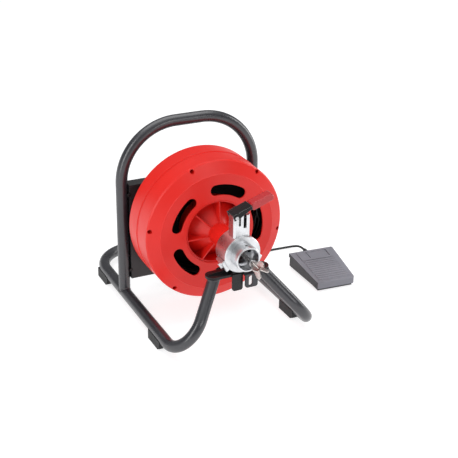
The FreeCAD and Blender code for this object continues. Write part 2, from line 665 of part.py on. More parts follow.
def fork(low, high, centre, radius):
    """Round plug, slotted below for its roller and bored for the roller's axle."""
    plug = Part.makeCylinder(radius, high - low, V(0, 0, low))
    slot = box(-15, 15, -ROLLER_W / 2 - 0.4, ROLLER_W / 2 + 0.4, low - 1, centre + FEED_ROLLER_R + 1)
    hole = rod(3.0, (0, -20, centre), (0, 20, centre))
    return plug.cut(skewed(slot, centre)).cut(skewed(hole, centre))


def make_feed_body():
    """Turned aluminium barrel with the roller tower standing on it, machined in one piece."""
    y0, y1 = BODY_FRONT_Y, BODY_REAR_Y
    barrel = turned([(0, y0), (BODY_R - 1.5, y0), (BODY_R, y0 + 1.5), (BODY_R, y1 - 1.5),
                     (BODY_R - 1.5, y1), (0, y1)])
    bevel = 4.5
    t0, t1 = TOWER_Y
    outline = [(-TOWER_HALF_W, t1), (-TOWER_HALF_W, t0 + bevel), (-TOWER_HALF_W + bevel, t0),
               (TOWER_HALF_W - bevel, t0), (TOWER_HALF_W, t0 + bevel), (TOWER_HALF_W, t1)]
    points = [V(x, y, AXIS_Z) for x, y in outline]
    tower = Part.Face(Part.makePolygon(points + points[:1])).extrude(V(0, 0, TOWER_TOP - AXIS_Z))
    body = fuse([barrel, tower])
    body = body.cut(rod_y(OUTLET_R, y0 - 1, y1 - 18)).cut(rod_y(28, y1 - 18, y1 + 1))
    body = body.cut(placed(Part.makeCylinder(CARRIER_R, LEDGE), 90))
    body = body.cut(placed(Part.makeCylinder(6 + RUN, 10, V(0, 0, LEDGE - 1)), 90))
    body = body.cut(placed(Part.makeCylinder(CARRIER_R, 60, V(0, 0, LEDGE + 3)), 90))
    for angle in (210, 330):
        body = body.cut(placed(Part.makeCylinder(CARRIER_R, 60), angle))
        body = body.cut(placed(box(-15, 15, -16.5, 16.5, CAP_SEAT, CAP_SEAT + 20), angle))
    for x0, x1, depth in ((-8.5, -3.5, 24), (3.0, 10.5, 30)):
        body = body.cut(box(x0, x1, t0 - 1, ROLLER_Y, TOWER_TOP - depth, TOWER_TOP + 1))
    body = body.cut(rod(2.5, (LEVER_PIVOT.x, t0 - 1, LEVER_PIVOT.z), (LEVER_PIVOT.x, t1 + 1, LEVER_PIVOT.z)))
    for y in (STRUT_TOP.y - 11, STRUT_TOP.y + 11):
        body = body.cut(rod(4.0, (0, y, AXIS_Z - 50), (0, y, AXIS_Z - 28)))
    save("feed_body", body)


def make_nozzle():
    """Outlet sleeve on the front of the feed body."""
    y0 = NOZZLE_FRONT_Y
    save("nozzle", turned([(NOZZLE_BORE + 1, y0), (NOZZLE_R - 1.5, y0), (NOZZLE_R, y0 + 1.5),
                           (NOZZLE_R, BODY_FRONT_Y), (OUTLET_R, BODY_FRONT_Y),
                           (NOZZLE_BORE, BODY_FRONT_Y - 4), (NOZZLE_BORE, y0 + 1)]))


def make_throat_bush():
    """Flanged plain bearing in the feed body, round the drum's throat."""
    y1 = BODY_REAR_Y
    save("throat_bush", turned([(28, y1 - 18), (28, y1), (32, y1), (32, y1 + 2.5),
                                (THROAT_R + RUN, y1 + 2.5), (THROAT_R + RUN, y1 - 18)]))


def make_side_rollers():
    centre = CABLE_R + ROLLER_GAP + FEED_ROLLER_R
    carriers = []
    screws = []
    for side, angle in (("left", 210), ("right", 330)):
        plug = fork(9.5, CAP_SEAT, centre, CARRIER_R)
        cap = box(-14, 14, -16, 16, CAP_SEAT, CAP_SEAT + 10)
        cap = cap.makeChamfer(1.5, cap.Edges)
        screw_hole = Part.makeCylinder(3, 30, V(0, 0, CAP_SEAT - 6))
        save("roller_carrier_" + side, placed(plug.fuse(cap).cut(screw_hole).removeSplitter(), angle))
        roller, axle = roller_parts(centre)
        save("side_roller_" + side, placed(roller, angle))
        carriers.append(placed(axle, angle))
        shank = Part.makeCylinder(3, 16, V(0, 0, CAP_SEAT - 6))
        corners = []
        for k in range(7):
            turn = math.radians(60 * k)
            corners.append(V(7 * math.cos(turn), 7 * math.sin(turn), CAP_SEAT + 10))
        head = Part.Face(Part.makePolygon(corners)).extrude(V(0, 0, 5))
        screws.append(placed(shank.fuse(head).removeSplitter(), angle))
    save("side_roller_axles", Part.makeCompound(carriers))
    save("adjuster_screws", Part.makeCompound(screws))


def make_carriage():
    """Sprung plunger that lowers the top roller on to the cable."""
    centre = CABLE_R + ROLLER_GAP + FEED_ROLLER_R + CARRIAGE_STROKE
    head_top = LEVER_PIVOT.z - AXIS_Z + CAM_ARM * math.sin(math.radians(CAM_ANGLE)) - CAM_R - 0.3
    plug = fork(9.5 + CARRIAGE_STROKE, 48, centre, CARRIER_R - RUN)
    stem = Part.makeCylinder(6, head_top - 48, V(0, 0, 48))
    head = Part.makeCylinder(CARRIER_R - 1, 3, V(0, 0, head_top - 3))
    save("roller_carriage", placed(plug.fuse(stem).fuse(head).removeSplitter(), 90))
    roller, axle = roller_parts(centre)
    save("top_roller", placed(roller, 90))
    save("top_roller_axle", placed(axle, 90))
    seat = AXIS_Z + LEDGE + 3
    length = AXIS_Z + head_top - 3 - seat
    wire = 1.0
    start = V(0, ROLLER_Y, seat + wire)
    save("carriage_spring", coil_spring(start, V(0, 0, 1), 8.6, wire, length - 2 * wire, 4.5))


def lever_frame(shape):
    """Takes a piece drawn with its pivot at the origin and its arm along +X to the raised lever."""
    copy = shape.copy()
    copy.rotate(V(0, 0, 0), V(0, -1, 0), LEVER_ANGLE)
    copy.translate(V(LEVER_PIVOT.x, 0, LEVER_PIVOT.z))
    return copy


def make_lever():
    """Pressed channel with a cam lobe underneath and an arm, and a moulded grip on the arm."""
    y0 = TOWER_Y[0] - 0.2
    y1 = TOWER_Y[1] + 0.2
    y_mid = 0.5 * (y0 + y1)
    sheet = 2.0
    side = [(-7, -5), (4, -6), (30, 0), (42, 2), (42, 9), (-7, 9)]
    channel = prism_y(side, y0 - sheet, y1 + sheet)
    channel = channel.cut(prism_y([(-20, -20), (80, -20), (80, 7), (-20, 7)], y0, y1))
    nose_angle = math.radians(CAM_ANGLE - LEVER_ANGLE)
    nose = (CAM_ARM * math.cos(nose_angle), CAM_ARM * math.sin(nose_angle))
    lobe = prism_y([(nose[0] - CAM_R, nose[1]), (nose[0] + CAM_R, nose[1]), (nose[0] + CAM_R, 8),
                    (nose[0] - CAM_R, 8)], y_mid - 5, y_mid + 5)
    lobe = lobe.fuse(rod_y(CAM_R, y_mid - 5, y_mid + 5, nose[0], nose[1]))
    arm = [(37, 2), (70, 2), (70, 8), (37, 8)]
    channel = fuse([channel, lobe, prism_y(arm, y_mid - 8, y_mid + 8)])
    channel = channel.cut(rod_y(2.5 + RUN, y0 - 5, y1 + 5, 0, 0))
    save("feed_lever", lever_frame(channel))
    grip = prism_y([(43, -5), (46, -7), (97, -6), (99, 0), (97, 8), (93, 10), (46, 11), (43, 9)],
                   y_mid - 12, y_mid + 12)
    grip = grip.makeFillet(2.0, [e for e in grip.Edges if abs(e.tangentAt(e.FirstParameter).y) < 0.1])
    save("lever_grip", lever_frame(grip.cut(prism_y(arm, y_mid - 8, y_mid + 8))))
    pin = fuse([rod_y(2.5, y0 - 3, y1 + 3, 0, 0), rod_y(4.2, y0 - 4.5, y0 - 2.4, 0, 0),
                rod_y(4.2, y1 + 2.4, y1 + 4.5, 0, 0)])
    pin.translate(V(LEVER_PIVOT.x, 0, LEVER_PIVOT.z))
    save("lever_pin", pin)


# ---- working end --------------------------------------------------------------------------
def make_cable_end():
    """Straight leading length of the cable, its coupling and a four-blade cutter."""
    coupling_y = NOZZLE_FRONT_Y - 4
    cutter_y = coupling_y - 15
    tip_y = cutter_y - 45
    save("cable_lead", rod_y(CABLE_R, coupling_y, -70))
    coupling = turned([(0, cutter_y), (7.5, cutter_y), (8, cutter_y + 1), (8, coupling_y - 4),
                       (CABLE_R, coupling_y), (0, coupling_y)])
    screw_y = 0.5 * (coupling_y + cutter_y) - 1
    screw_seat = rod(2.6, (0, screw_y, AXIS_Z + 5.5), (0, screw_y, AXIS_Z + 9))
    save("tool_coupling", coupling.cut(screw_seat))
    hub = turned([(0, tip_y + 14), (2.5, tip_y + 18), (5.5, cutter_y - 6), (5.5, cutter_y), (0, cutter_y)])
    outline = [(1, cutter_y - 3), (7, cutter_y - 5), (20, tip_y + 14), (19.5, tip_y + 4), (12, tip_y),
               (1, tip_y + 13)]
    wing = blade(outline, 2.4)
    save("cutter_head", fuse([hub] + [spun(wing, BLADE_PHASE + 90 * k) for k in range(4)]))


# ---- foot pedal and air hose ----------------------------------------------------------------
def on_pedal(shape):
    """Takes a piece drawn with the pedal's front left floor corner at the origin to its place."""
    copy = shape.copy()
    copy.rotate(V(0, 0, 0), V(0, 0, 1), PEDAL_TURN)
    copy.translate(PEDAL_CORNER)
    return copy


def pedal_prism(outline, x0, x1):
    """Extrude a closed (y, z) side outline across the pedal."""
    points = [V(x0, y, z) for y, z in outline]
    return Part.Face(Part.makePolygon(points + points[:1])).extrude(V(x1 - x0, 0, 0))


def pedal_top(y):
    """Height of the treadle's sloping top face."""
    rise = PEDAL_REAR_H - PEDAL_FRONT_H
    return PEDAL_FRONT_H + rise * min(y, PEDAL_RAMP_END) / PEDAL_RAMP_END


def pedal_under(y):
    """Height of the underside of the treadle's top."""
    return pedal_top(y) - PEDAL_PLATE


def pedal_slab(x0, x1, y0, y1, low, high):
    """Slab between two offsets from the treadle's sloping top face."""
    outline = [(y0, pedal_top(y0) + low), (y1, pedal_top(y1) + low), (y1, pedal_top(y1) + high),
               (y0, pedal_top(y0) + high)]
    return pedal_prism(outline, x0, x1)


def across_pedal(radius, place, x0=-12.0, x1=PEDAL_W + 12.0):
    """Cylinder across the pedal at a (y, z) place."""
    return rod(radius, (x0, place[0], place[1]), (x1, place[0], place[1]))


def pedal_edge(y):
    """Where the pedal's left edge is at a distance from its front."""
    return PEDAL_FRONT_X + (PEDAL_REAR_X - PEDAL_FRONT_X) * y / PEDAL_L


def pedal_plan(inset, y0, y1, corner=0.0):
    """Upright block of the pedal's tapered outline, drawn in from its sides."""
    points = []
    for y in (y0, y1):
        points.append(V(pedal_edge(y) + inset, y, -1))
    for y in (y1, y0):
        points.append(V(PEDAL_W - pedal_edge(y) - inset, y, -1))
    block = Part.Face(Part.makePolygon(points + points[:1])).extrude(V(0, 0, PEDAL_REAR_H + 5))
    if corner:
        upright = [e for e in block.Edges if abs(e.tangentAt(e.FirstParameter).z) > 0.9]
        block = block.makeFillet(corner, upright)
    return block


def make_treadle():
    """Moulded top that rocks on the hinge pin, with a ribbed tread let into it."""
    width, length = PEDAL_W, PEDAL_L
    side = [(0, 7), (0, PEDAL_FRONT_H - 2), (2, PEDAL_FRONT_H), (PEDAL_RAMP_END, PEDAL_REAR_H),
            (length - 3, PEDAL_REAR_H - 1), (length, PEDAL_REAR_H - 4), (length, PEDAL_REAR_H - 7),
            (PEDAL_RAMP_END, pedal_under(PEDAL_RAMP_END)), (3, pedal_under(3)), (3, 7)]
    reach = 12.0
    pieces = [pedal_prism(side, -reach, width + reach)]
    pieces.append(pedal_slab(9, width - 9, 104, PEDAL_RAMP_END, -1, 1.2))
    pieces.append(box(5.6, width - 5.6, length - 8.6, length - 6.6, 23, 35.5))
    press = pedal_under(104) + 1 - 26.5
    pieces.append(Part.makeCylinder(8, press, V(width / 2, 104, 26.5)))
    rim = [(2, pedal_under(2) + 0.5), (PEDAL_RAMP_END, pedal_under(PEDAL_RAMP_END) + 0.5),
           (length, PEDAL_REAR_H - 6), (length, PEDAL_REAR_H - 13),
           (PEDAL_RAMP_END, pedal_under(PEDAL_RAMP_END) - 4), (2, pedal_under(2) - 4)]
    pieces.append(pedal_prism(rim, -reach, width + reach).cut(pedal_plan(1.6, -5, length + 5)))
    pieces.append(box(-reach, width + reach, length - 1.8, length, PEDAL_REAR_H - 13, PEDAL_REAR_H - 6))
    y_lim, z_lim = PEDAL_LIMIT
    for inner, sign in ((6.8, 1), (width - 6.8, -1)):
        skirt = [(2, pedal_under(2) + 0.5), (PEDAL_RAMP_END, pedal_under(PEDAL_RAMP_END) + 0.5),
                 (PEDAL_RAMP_END, pedal_under(PEDAL_RAMP_END) - 8), (2, pedal_under(2) - 8)]
        x0, x1 = sorted((inner, inner + 2 * sign))
        pieces.append(pedal_prism(skirt, x0, x1))
        x0, x1 = sorted((inner, inner + 6 * sign))
        pieces.append(box(x0, x1, 5, 19, 8.2, 21))
        x0, x1 = sorted((inner, inner + 3 * sign))
        pieces.append(box(x0, x1, y_lim - 7, y_lim + 7, z_lim - 6, z_lim + 11))
    cover = fuse(pieces)
    cover = cover.cut(pedal_slab(9, width - 9, 8, 100, -1, 5))
    for x0, x1 in ((33, 37), (88, 92)):
        cover = cover.cut(pedal_slab(x0, x1, 112, 140, -1, 5))
    cover = cover.cut(pedal_slab(37, 88, 112, 140, 0.4, 5))
    cover = cover.cut(across_pedal(2.5 + RUN, PEDAL_HINGE))
    travel = [(y_lim - 2.4, z_lim), (y_lim + 2.4, z_lim), (y_lim + 2.4, z_lim + 3.4),
              (y_lim - 2.4, z_lim + 3.4)]
    cover = cover.cut(pedal_prism(travel, 5, width - 5))
    for z in (z_lim, z_lim + 3.4):
        cover = cover.cut(across_pedal(2.4, (y_lim, z), 5, width - 5))
    save("pedal_treadle", on_pedal(cover.removeSplitter().common(pedal_plan(0, 0, length, 6))))
    tread = [pedal_slab(9, width - 9, 8, 100, -1, 0.2)]
    for k in range(10):
        y = 11 + 9.2 * k
        z = pedal_top(y)
        rib = [(y - 0.5, z - 0.5), (y + 0.3, z + 1.2), (y + 4.2, z + 1.6), (y + 5, z)]
        tread.append(pedal_prism(rib, 11, width - 11))
    save("pedal_mat", on_pedal(fuse(tread)))


def make_pedal_base():
    """Base with sloping side walls under the treadle, on a smaller foot."""
    width, length = PEDAL_W, PEDAL_L
    rear = PEDAL_BACK
    wall = [(4, 5), (4, pedal_under(4) - 2.2), (PEDAL_RAMP_END, pedal_under(PEDAL_RAMP_END) - 4.7),
            (rear, 27.5), (rear, 5)]
    reach = 12.0
    walls = pedal_prism(wall, -reach, width + reach).cut(pedal_plan(5, -5, rear - 3))
    pieces = [box(6, width - 6, 6, length - 6, 0, 6), box(-reach, width + reach, 4, rear, 5, 7.5), walls]
    for x in (24, width - 24):
        pieces.append(Part.makeCylinder(4, 5, V(x, length - 54, 7)))
    base = fuse(pieces)
    base = base.common(pedal_plan(2, 4, rear, 5))
    base = base.cut(across_pedal(2.5, PEDAL_HINGE)).cut(across_pedal(2.0, PEDAL_LIMIT))
    x, z = PEDAL_NIPPLE
    save("pedal_base", on_pedal(base.cut(rod(2.8, (x, rear - 6, z), (x, rear + 2, z)))))
    hinge_x = pedal_edge(PEDAL_HINGE[0]) + 2.4
    limit_x = pedal_edge(PEDAL_LIMIT[0]) + 2.2
    pins = [across_pedal(2.5, PEDAL_HINGE, hinge_x, width - hinge_x)]
    for x0, x1 in ((limit_x, 9.4), (width - 9.4, width - limit_x)):
        pins.append(across_pedal(2.0, PEDAL_LIMIT, x0, x1))
    save("pedal_pins", on_pedal(Part.makeCompound(pins)))


def make_pedal_air():
    """Return springs, the rubber bulb that the treadle presses, and its air connection."""
    width, length = PEDAL_W, PEDAL_L
    room = pedal_under(length - 54) - 7.5
    springs = []
    for x in (24, width - 24):
        coil = coil_spring(V(x, length - 54, 8.5), V(0, 0, 1), 6.0, 0.8, room - 2.8, 4)
        springs.append(on_pedal(coil))
    save("pedal_springs", Part.makeCompound(springs))
    x, z = PEDAL_NIPPLE
    rear = PEDAL_BACK
    bulb = turned_z([(0, 7.5), (17, 7.5), (20, 12), (20, 18), (16, 24), (0, 26.5)], width / 2, 104)
    lead = rod(2.4, (x, 114, z), (x, rear - 6, z))
    save("air_bulb", on_pedal(fuse([bulb, lead])))
    nipple = fuse([rod(3.4, (x, rear - 6, z), (x, rear - 3, z)), rod(2.8, (x, rear - 3, z), (x, rear, z)),
                   rod(5.5, (x, rear, z), (x, rear + 4, z)),
                   rod(4.2, (x, rear + 4, z), (x, PEDAL_SLEEVE_END, z))])
    save("pedal_nipple", on_pedal(nipple.cut(rod(1.2, (x, rear - 8, z), (x, rear + 20, z)))))


def hose_tube(name, route):
    """Hose along straight runs joined by arcs as large as the runs allow."""
    radii = []
    for k in range(1, len(route) - 1):
        before = route[k] - route[k - 1]
        after = route[k + 1] - route[k]
        turn = before.getAngle(after)
        radii.append(0.45 * min(before.Length, after.Length) / math.tan(turn / 2))
    path = rounded_path(route, radii)
    tube = pipe(path, HOSE_R)
    print(name, "radii", [round(r, 1) for r in radii], "length", round(path.Length, 1), "volume ratio",
          round(tube.Volume / (math.pi * HOSE_R ** 2 * path.Length), 4))
    return tube


def make_air_hose(start):
    """Hose from the switch box down to its coil, and on under the rail to the foot pedal."""
    inner_r, outer_r, height = COIL_RING
    coil = Part.makeCylinder(outer_r, height, COIL_CENTRE)
    coil = coil.cut(Part.makeCylinder(inner_r, height, COIL_CENTRE))
    save("air_hose_coil", coil)
    upper = [start, V(92, 152, 169), V(122, 126, 150), V(138, 104, 122), V(143, 96, 88), V(143, 100, 56),
             V(142, 112, 34), V(142, 136, 22), V(141.5, 160, 21)]
    save("air_hose_upper", hose_tube("upper", upper).cut(coil))
    x, z = PEDAL_NIPPLE
    finish = on_pedal(Part.Vertex(V(x, PEDAL_SLEEVE_END, z))).Point
    approach = on_pedal(Part.Vertex(V(x, PEDAL_SLEEVE_END + 25, z))).Point
    lower = [V(105, 124, 3), V(150, 124, 3), V(196, 127, 3), V(242, 140, 3), V(286, 149, 3), V(320, 147, 3),
             V(350, 142, 5), approach, finish]
    save("air_hose_lower", hose_tube("lower", lower).cut(coil))


def turned_z(profile, x, y):
    """Revolve a closed (radius, z) outline about a vertical line."""
    points = [V(x + r, y, z) for r, z in profile]
    return Part.Face(Part.makePolygon(points + points[:1])).revolve(V(x, y, 0), V(0, 0, 1), 360)


if __name__ == "__main__":
    base_outer = base_solid()
    make_base(base_outer)
    make_handle(base_outer)
    make_feet(base_outer)
    make_bracket()
    make_lugs()
    bolts = make_case() + make_bearing_housing() + make_motor()
    save("drive_bolts", Part.makeCompound(bolts))
    make_drive()
    air_exit = make_air_nipple(make_switch_box())
    wall_r = DRUM_R - 2 - SHELL
    make_front_shell(wall_r)
    make_rear_shell(wall_r)
    make_drum_screws()
    make_funnel()
    make_drum_shaft()
    make_wound_cable()
    make_feed_body()
    make_nozzle()
    make_throat_bush()
    make_side_rollers()
    make_carriage()
    make_lever()
    make_cable_end()
    make_treadle()
    make_pedal_base()
    make_pedal_air()
    make_air_hose(air_exit)
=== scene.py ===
"""Looks for an electric drum drain-cleaning machine: materials, cord, cable and fine detail.

Metres, in the part's own frame: +Z up, -Y towards the cable outlet, origin on the floor midway
between the feet.
"""
import json
import math
import random

import bmesh
import bpy
from mathutils import Matrix, Quaternion, Vector


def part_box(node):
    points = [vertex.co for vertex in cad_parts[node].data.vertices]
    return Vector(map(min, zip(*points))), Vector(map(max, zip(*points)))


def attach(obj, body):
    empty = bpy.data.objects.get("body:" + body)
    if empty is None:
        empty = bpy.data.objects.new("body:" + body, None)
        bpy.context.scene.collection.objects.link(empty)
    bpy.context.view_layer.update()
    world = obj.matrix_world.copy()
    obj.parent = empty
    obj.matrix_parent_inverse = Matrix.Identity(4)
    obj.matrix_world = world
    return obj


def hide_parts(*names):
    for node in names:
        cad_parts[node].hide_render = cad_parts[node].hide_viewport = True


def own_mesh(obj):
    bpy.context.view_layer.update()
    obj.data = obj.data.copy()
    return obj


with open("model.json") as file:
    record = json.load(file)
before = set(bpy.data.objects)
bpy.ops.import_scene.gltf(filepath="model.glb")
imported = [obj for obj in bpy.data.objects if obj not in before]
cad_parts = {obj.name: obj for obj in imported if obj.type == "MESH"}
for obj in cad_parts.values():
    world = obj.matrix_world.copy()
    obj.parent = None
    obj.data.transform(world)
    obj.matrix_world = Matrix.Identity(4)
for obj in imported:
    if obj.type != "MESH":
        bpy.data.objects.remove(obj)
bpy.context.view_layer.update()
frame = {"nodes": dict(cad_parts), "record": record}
nodes = frame["nodes"]

MM = 0.001
AXIS_Z = 0.225                 # height of the drum's axis, which the outlet shares
TUBE_R = 0.014                 # the frame's tube


# ---- camera and light -----------------------------------------------------------------------
CAMERA_PLACE = (-0.9505, -2.1052, 1.2544)
CAMERA_ANGLES = (-26.22, 24.86, 0.89)  # azimuth from -Y, elevation and roll, in degrees
CAMERA_LENS = 82.54
CAMERA_SENSOR = 36.0
LIT_PLACE = (0.05, -0.05, 0.2)         # every light faces this
SKY_STRENGTH = 0.9
SKY_LEVELS = ((0.0, 0.80), (0.10, 0.42), (0.30, 0.20), (0.55, 0.26), (0.80, 0.85), (1.0, 1.0))
FLOOR_HALF = 14.0
FLOOR_DROP = 0.0006                    # keeps the floor clear of the feet's faces


def make_camera():
    azimuth, elevation, roll = (math.radians(angle) for angle in CAMERA_ANGLES)
    back = Vector((math.sin(azimuth) * math.cos(elevation), -math.cos(azimuth) * math.cos(elevation),
                   math.sin(elevation)))
    data = bpy.data.cameras.new("camera")
    data.lens = CAMERA_LENS
    data.sensor_width = CAMERA_SENSOR
    camera = bpy.data.objects.new("camera", data)
    camera.rotation_mode = "QUATERNION"
    camera.location = CAMERA_PLACE
    camera.rotation_quaternion = back.to_track_quat("Z", "Y") @ Quaternion((0, 0, 1), roll)
    bpy.context.scene.collection.objects.link(camera)
    bpy.context.scene.camera = camera


def area_light(name, place, size, power):
    data = bpy.data.lights.new(name, "AREA")
    data.shape = "RECTANGLE"
    data.size, data.size_y = size
    data.energy = power
    light = bpy.data.objects.new(name, data)
    light.location = place
    light.rotation_mode = "QUATERNION"
    light.rotation_quaternion = (Vector(place) - Vector(LIT_PLACE)).to_track_quat("Z", "Y")
    bpy.context.scene.collection.objects.link(light)


def make_sky():
    """Studio surround by direction: bright at floor level, darker walls, bright ceiling."""
    world = bpy.data.worlds.new("world")
    world.use_nodes = True
    tree = world.node_tree
    place = tree.nodes.new("ShaderNodeTexCoord")
    split = tree.nodes.new("ShaderNodeSeparateXYZ")
    tree.links.new(place.outputs["Generated"], split.inputs["Vector"])
    light = ramp(tree, split.outputs["Z"], [(at, (level, level, level)) for at, level in SKY_LEVELS])
    background = tree.nodes["Background"]
    tree.links.new(light, background.inputs["Color"])
    background.inputs["Strength"].default_value = SKY_STRENGTH
    bpy.context.scene.world = world


def make_lights():
    area_light("top_light", (0.1, 0.3, 2.2), (2.4, 1.6), 22)
    area_light("left_light", (-2.2, -0.9, 1.2), (0.7, 1.9), 21)
    area_light("front_light", (0.7, -2.6, 1.3), (1.2, 0.7), 9)
    area_light("right_light", (2.2, -0.2, 0.9), (0.6, 1.4), 14)
    make_sky()
    bpy.context.scene.view_settings.view_transform = "Standard"


def make_floor():
    mesh = bpy.data.meshes.new("floor")
    corners = [(x * FLOOR_HALF, y * FLOOR_HALF, 0) for x, y in ((-1, -1), (1, -1), (1, 1), (-1, 1))]
    mesh.from_pydata(corners, [], [(0, 1, 2, 3)])
    floor = bpy.data.objects.new("floor", mesh)
    floor.location.z = -FLOOR_DROP
    bpy.context.scene.collection.objects.link(floor)
    floor.data.materials.append(plain_floor())


# ---- foot pedal's own frame --------------------------------------------------------------------
PEDAL_CORNER = Vector((0.28265, -0.107, 0))  # its front left corner on the floor
PEDAL_TURN = Matrix.Rotation(math.radians(-4.0), 3, "Z")
PEDAL_W = 0.108                # the width that its edges are measured from
PEDAL_L = 0.156
PEDAL_EDGE = (0.002, -0.009)   # how far in each side lies, at the front and at the wider rear
PEDAL_AIR = (0.066, 0.011)     # place across it and height of its air connection


def on_pedal(x, y, z):
    return PEDAL_CORNER + PEDAL_TURN @ Vector((x, y, z))


def to_pedal(place):
    return PEDAL_TURN.transposed() @ (Vector(place) - PEDAL_CORNER)


def air_line(along):
    """Places in line with the pedal's air connection."""
    across, height = PEDAL_AIR
    return [on_pedal(across, y, height) for y in along]


# ---- materials ------------------------------------------------------------------------------
SOFT_EDGE = 0.0009             # rounding of every edge
WORN_AND_HIGHLIGHT_EDGE = 0.0012             # reach of the rubbed paint, and of the lever's painted edge highlight, from an edge


def new_material(name):
    material = bpy.data.materials.new(name)
    material.use_nodes = True
    tree = material.node_tree
    shader = tree.nodes["Principled BSDF"]
    return material, tree, shader


def node(tree, kind, **values):
    made = tree.nodes.new(kind)
    for key, value in values.items():
        if hasattr(made, key):
            setattr(made, key, value)
        else:
            made.inputs[key.replace("_", " ")].default_value = value
    return made


def coordinates(tree, scale=(1, 1, 1)):
    """Places on the object itself, stretched by a scale."""
    place = tree.nodes.new("ShaderNodeTexCoord")
    mapping = tree.nodes.new("ShaderNodeMapping")
    mapping.inputs["Scale"].default_value = scale
    tree.links.new(place.outputs["Object"], mapping.inputs["Vector"])
    return mapping.outputs["Vector"]


def noise(tree, vector, scale, detail=3.0, rough=0.5):
    """Cloudy 0 to 1 value; a larger scale is finer."""
    made = node(tree, "ShaderNodeTexNoise", Scale=scale, Detail=detail, Roughness=rough)
    tree.links.new(vector, made.inputs["Vector"])
    return made.outputs["Fac"]


def ramp(tree, value, stops):
    """Colour ramp over a 0 to 1 value; stops are (place, colour)."""
    made = tree.nodes.new("ShaderNodeValToRGB")
    tree.links.new(value, made.inputs["Fac"])
    elements = made.color_ramp.elements
    elements[0].position, elements[0].color = stops[0][0], tuple(stops[0][1]) + (1,)
    elements[1].position, elements[1].color = stops[-1][0], tuple(stops[-1][1]) + (1,)
    for place, colour in stops[1:-1]:
        extra = elements.new(place)
        extra.color = tuple(colour) + (1,)
    return made.outputs["Color"]


def spread(tree, value, low, high):
    """A 0 to 1 value taken to low to high."""
    made = node(tree, "ShaderNodeMapRange")
    made.inputs["To Min"].default_value = low
    made.inputs["To Max"].default_value = high
    tree.links.new(value, made.inputs["Value"])
    return made.outputs["Result"]


def bevelled(tree, radius):
    """The surface's own direction, with its edges rounded off."""
    bevel = node(tree, "ShaderNodeBevel", samples=4)
    bevel.inputs["Radius"].default_value = radius
    return bevel.outputs["Normal"]


def bump(tree, shader, heights):
    """Bump from (height value, strength, distance) in turn, coarse first, over softly rounded edges."""
    normal = bevelled(tree, SOFT_EDGE)
    for height, strength, distance in heights:
        made = node(tree, "ShaderNodeBump", Strength=strength, Distance=distance)
        tree.links.new(height, made.inputs["Height"])
        tree.links.new(normal, made.inputs["Normal"])
        normal = made.outputs["Normal"]
    tree.links.new(normal, shader.inputs["Normal"])


def worn_and_highlight_edge(tree):
    """1 along sharp edges, 0 on flat faces."""
    geometry = tree.nodes.new("ShaderNodeNewGeometry")
    dot = node(tree, "ShaderNodeVectorMath", operation="DOT_PRODUCT")
    tree.links.new(bevelled(tree, WORN_AND_HIGHLIGHT_EDGE), dot.inputs[0])
    tree.links.new(geometry.outputs["Normal"], dot.inputs[1])
    edge = node(tree, "ShaderNodeMapRange")
    edge.inputs["From Min"].default_value = 0.995
    edge.inputs["From Max"].default_value = 0.93
    tree.links.new(dot.outputs["Value"], edge.inputs["Value"])
    return edge.outputs["Result"]


def mixed(tree, factor, first, second):
    """Blend of two colours, each a value of the tree or three numbers."""
    made = node(tree, "ShaderNodeMix", data_type="RGBA")
    tree.links.new(factor, made.inputs["Factor"])
    for value, socket in ((first, made.inputs[6]), (second, made.inputs[7])):
        if hasattr(value, "default_value"):
            tree.links.new(value, socket)
        else:
            socket.default_value = tuple(value) + (1,)
    return made.outputs[2]


def plain_floor():
    material, tree, shader = new_material("floor")
    shader.inputs["Base Color"].default_value = (0.42, 0.42, 0.43, 1)
    shader.inputs["Roughness"].default_value = 0.8
    shader.inputs["Specular IOR Level"].default_value = 0.1
    shader.inputs["Emission Color"].default_value = (1, 1, 1, 1)
    shader.inputs["Emission Strength"].default_value = 0.77
    return material


def powder_coat(name, colour, roughness, edge_shine=0.35, bare=0.03, gloss=0.6):
    """Sprayed and baked coat: fine orange peel, faint tone changes, edges a little rubbed; the lever's much
    lighter edges are a painted highlight.
    """
    material, tree, shader = new_material(name)
    vector = coordinates(tree)
    tone = noise(tree, vector, 14.0)
    lighter = tuple(min(1.0, 1.25 * c + 0.004) for c in colour)
    base = ramp(tree, tone, [(0.35, colour), (0.7, lighter)])
    # bare: lighter colour added along edges; when small it is rubbed paint, on the lever it is large and a
    # painted highlight
    rubbed_and_highlight = tuple(min(1.0, 2.2 * c + bare) for c in colour)
    edge = node(tree, "ShaderNodeMath", operation="MULTIPLY")
    tree.links.new(worn_and_highlight_edge(tree), edge.inputs[0])
    tree.links.new(spread(tree, noise(tree, vector, 60.0, 5.0, 0.7), -0.4, edge_shine), edge.inputs[1])
    edge.use_clamp = True
    tree.links.new(mixed(tree, edge.outputs[0], base, rubbed_and_highlight), shader.inputs["Base Color"])
    tree.links.new(spread(tree, noise(tree, vector, 40.0), roughness - 0.06, roughness + 0.08),
                   shader.inputs["Roughness"])
    shader.inputs["Specular IOR Level"].default_value = gloss
    bump(tree, shader, [(noise(tree, vector, 900.0, 2.0), 0.12, 0.0004)])
    return material


def moulded(name, colour, roughness, texture=1400.0, strength=0.06, tint=0.12, gloss=0.5, coat=0.0):
    """Injection-moulded plastic with a fine skin and slow changes of tone and gloss."""
    material, tree, shader = new_material(name)
    vector = coordinates(tree)
    darker = tuple(c * (1 - tint) for c in colour)
    tree.links.new(ramp(tree, noise(tree, vector, 7.0, 4.0), [(0.3, darker), (0.65, colour)]),
                   shader.inputs["Base Color"])
    tree.links.new(spread(tree, noise(tree, vector, 26.0, 4.0), roughness - 0.05, roughness + 0.07),
                   shader.inputs["Roughness"])
    shader.inputs["Specular IOR Level"].default_value = gloss
    shader.inputs["Coat Weight"].default_value = coat
    shader.inputs["Coat Roughness"].default_value = 0.2
    bump(tree, shader, [(noise(tree, vector, 38.0, 3.0), 0.10, 0.0012),
                        (noise(tree, vector, texture, 2.0), strength, 0.0003)])
    return material


